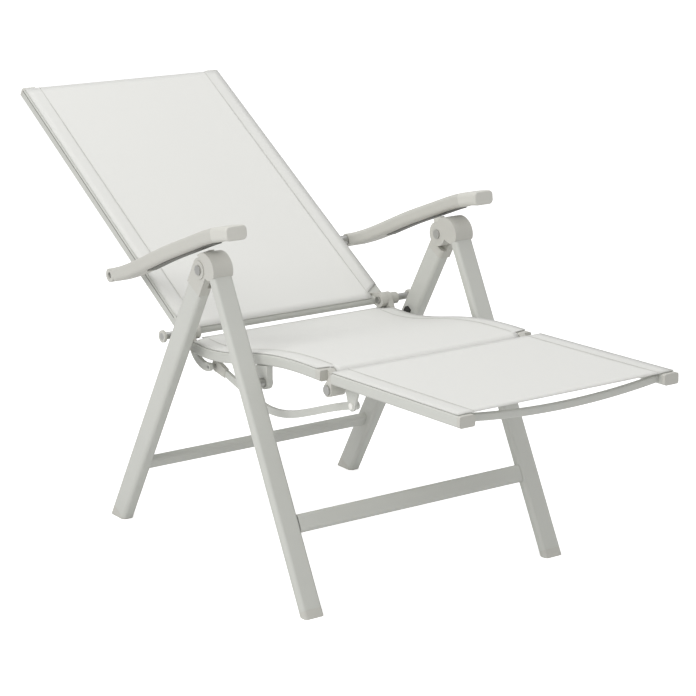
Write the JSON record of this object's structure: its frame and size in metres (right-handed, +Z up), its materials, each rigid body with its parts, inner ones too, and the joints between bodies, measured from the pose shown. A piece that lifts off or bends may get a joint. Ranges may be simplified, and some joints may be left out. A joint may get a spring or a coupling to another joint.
{
  "type": "reclining garden armchair",
  "caption": "Folding reclining garden armchair with taut mesh slings, curved arms, and a footrest that swings out as the back goes down.",
  "frame": {"origin": "on the floor, under the middle of the whole chair, between its right and left sides", "axes": "+Z up, the chair faces -Y, the sitter's left is +X"},
  "size_m": [0.608, 1.5056, 0.8064],
  "materials": {
    "dark_plastic": "black plastic",
    "grey_plastic": "moulded light grey plastic",
    "mesh_cloth": "coated polyester mesh",
    "pale_plastic": "moulded paler grey plastic",
    "powder_coat": "light grey powder coat",
    "steel": "plated steel",
    "white_nylon": "white nylon"
  },
  "bodies": {
    "front_frame": {"front_leg_right": "powder_coat", "front_leg_left": "powder_coat", "front_head_right": "grey_plastic", "front_head_left": "grey_plastic", "front_foot_plugs": "grey_plastic", "front_crossbar": "powder_coat", "adjuster_posts": "pale_plastic", "adjuster_pins": "steel", "head_pins": "steel", "seat_pivot_pins": "steel"},
    "rear_frame": {"rear_leg_right": "powder_coat", "rear_leg_left": "powder_coat", "rear_heads": "grey_plastic", "rear_foot_plugs": "grey_plastic", "rear_crossbar": "powder_coat", "slide_strips": "dark_plastic"},
    "seat": {"seat_rail_right": "powder_coat", "seat_rail_left": "powder_coat", "seat_hinge_cheek_right": "grey_plastic", "seat_hinge_cheek_left": "grey_plastic", "knee_cap_right": "grey_plastic", "knee_cap_left": "grey_plastic", "seat_pivot_lugs": "powder_coat", "seat_front_tube": "powder_coat", "seat_rear_bar": "powder_coat", "seat_cloth": "mesh_cloth", "hinge_axles": "steel", "hinge_collars": "grey_plastic", "knee_pins": "steel"},
    "back": {"back_rail_right": "powder_coat", "back_rail_left": "powder_coat", "back_hinge_cheek_right": "grey_plastic", "back_hinge_cheek_left": "grey_plastic", "back_lugs": "powder_coat", "back_top_bar": "powder_coat", "back_lower_bar": "powder_coat", "back_end_caps": "grey_plastic", "back_cloth": "mesh_cloth", "link_rivets": "steel"},
    "footrest": {"footrest_rail_right": "powder_coat", "footrest_rail_left": "powder_coat", "footrest_knuckle_right": "grey_plastic", "footrest_knuckle_left": "grey_plastic", "footrest_end_caps": "grey_plastic", "footrest_bow": "powder_coat", "footrest_brackets": "powder_coat", "bracket_pins": "white_nylon", "footrest_cloth": "mesh_cloth"},
    "link_right": {"link_bar_right": "powder_coat", "link_rod_end_right": "grey_plastic"},
    "arm_hub_right": {"arm_pin_right": "steel"},
    "armrest_right": {"arm_right": "grey_plastic", "arm_cap_right": "pale_plastic", "arm_rack_right": "grey_plastic"},
    "link_left": {"link_bar_left": "powder_coat", "link_rod_end_left": "grey_plastic"},
    "arm_hub_left": {"arm_pin_left": "steel"},
    "armrest_left": {"arm_left": "grey_plastic", "arm_cap_left": "pale_plastic", "arm_rack_left": "grey_plastic"}
  },
  "joints": [
    {"name": "leg_fold", "type": "hinge", "parent": "front_frame", "child": "rear_frame", "pos_m": [0, -0.03765, 0.571], "axis": [1, 0, 0], "range_deg": [-38, 0]},
    {"name": "seat_fold", "type": "hinge", "parent": "front_frame", "child": "seat", "pos_m": [0, -0.17065, 0.379], "axis": [1, 0, 0], "range_deg": [-73.5, 0.1]},
    {"name": "recline", "type": "hinge", "parent": "seat", "child": "back", "pos_m": [0, 0.09935, 0.416], "axis": [1, 0, 0], "range_deg": [0, 50]},
    {"name": "footrest_swing", "type": "hinge", "parent": "seat", "child": "footrest", "pos_m": [0, -0.37565, 0.412], "axis": [1, 0, 0], "range_deg": [-0.1, 92.6]},
    {"name": "link_turn_right", "type": "hinge", "parent": "back", "child": "link_right", "pos_m": [0, 0.04335, 0.358], "axis": [1, 0, 0], "range_deg": [-51.6, 0.1]},
    {"name": "arm_flip_right", "type": "hinge", "parent": "back", "child": "arm_hub_right", "pos_m": [0, 0.27635, 0.503], "axis": [1, 0, 0], "range_deg": [-86.5, 0.1]},
    {"name": "arm_turn_right", "type": "hinge", "parent": "arm_hub_right", "child": "armrest_right", "pos_m": [0, 0.27635, 0.503], "axis": [1, 0, 0], "range_deg": [-33.7, 0.1]},
    {"name": "link_turn_left", "type": "hinge", "parent": "back", "child": "link_left", "pos_m": [0, 0.04335, 0.358], "axis": [1, 0, 0], "range_deg": [-51.6, 0.1]},
    {"name": "arm_flip_left", "type": "hinge", "parent": "back", "child": "arm_hub_left", "pos_m": [0, 0.27635, 0.503], "axis": [1, 0, 0], "range_deg": [-86.5, 0.1]},
    {"name": "arm_turn_left", "type": "hinge", "parent": "arm_hub_left", "child": "armrest_left", "pos_m": [0, 0.27635, 0.503], "axis": [1, 0, 0], "range_deg": [-33.7, 0.1]}
  ],
  "couplings": [
    {"joint": "seat_fold", "follows": "leg_fold", "ratio": 1.93},
    {"joint": "footrest_swing", "follows": "recline", "ratio": 1.85},
    {"joint": "link_turn_right", "follows": "recline", "ratio": -1.027},
    {"joint": "arm_flip_right", "follows": "leg_fold", "ratio": 2.27},
    {"joint": "arm_turn_right", "follows": "recline", "ratio": -0.67},
    {"joint": "link_turn_left", "follows": "recline", "ratio": -1.027},
    {"joint": "arm_flip_left", "follows": "leg_fold", "ratio": 2.27},
    {"joint": "arm_turn_left", "follows": "recline", "ratio": -0.67}
  ]
}
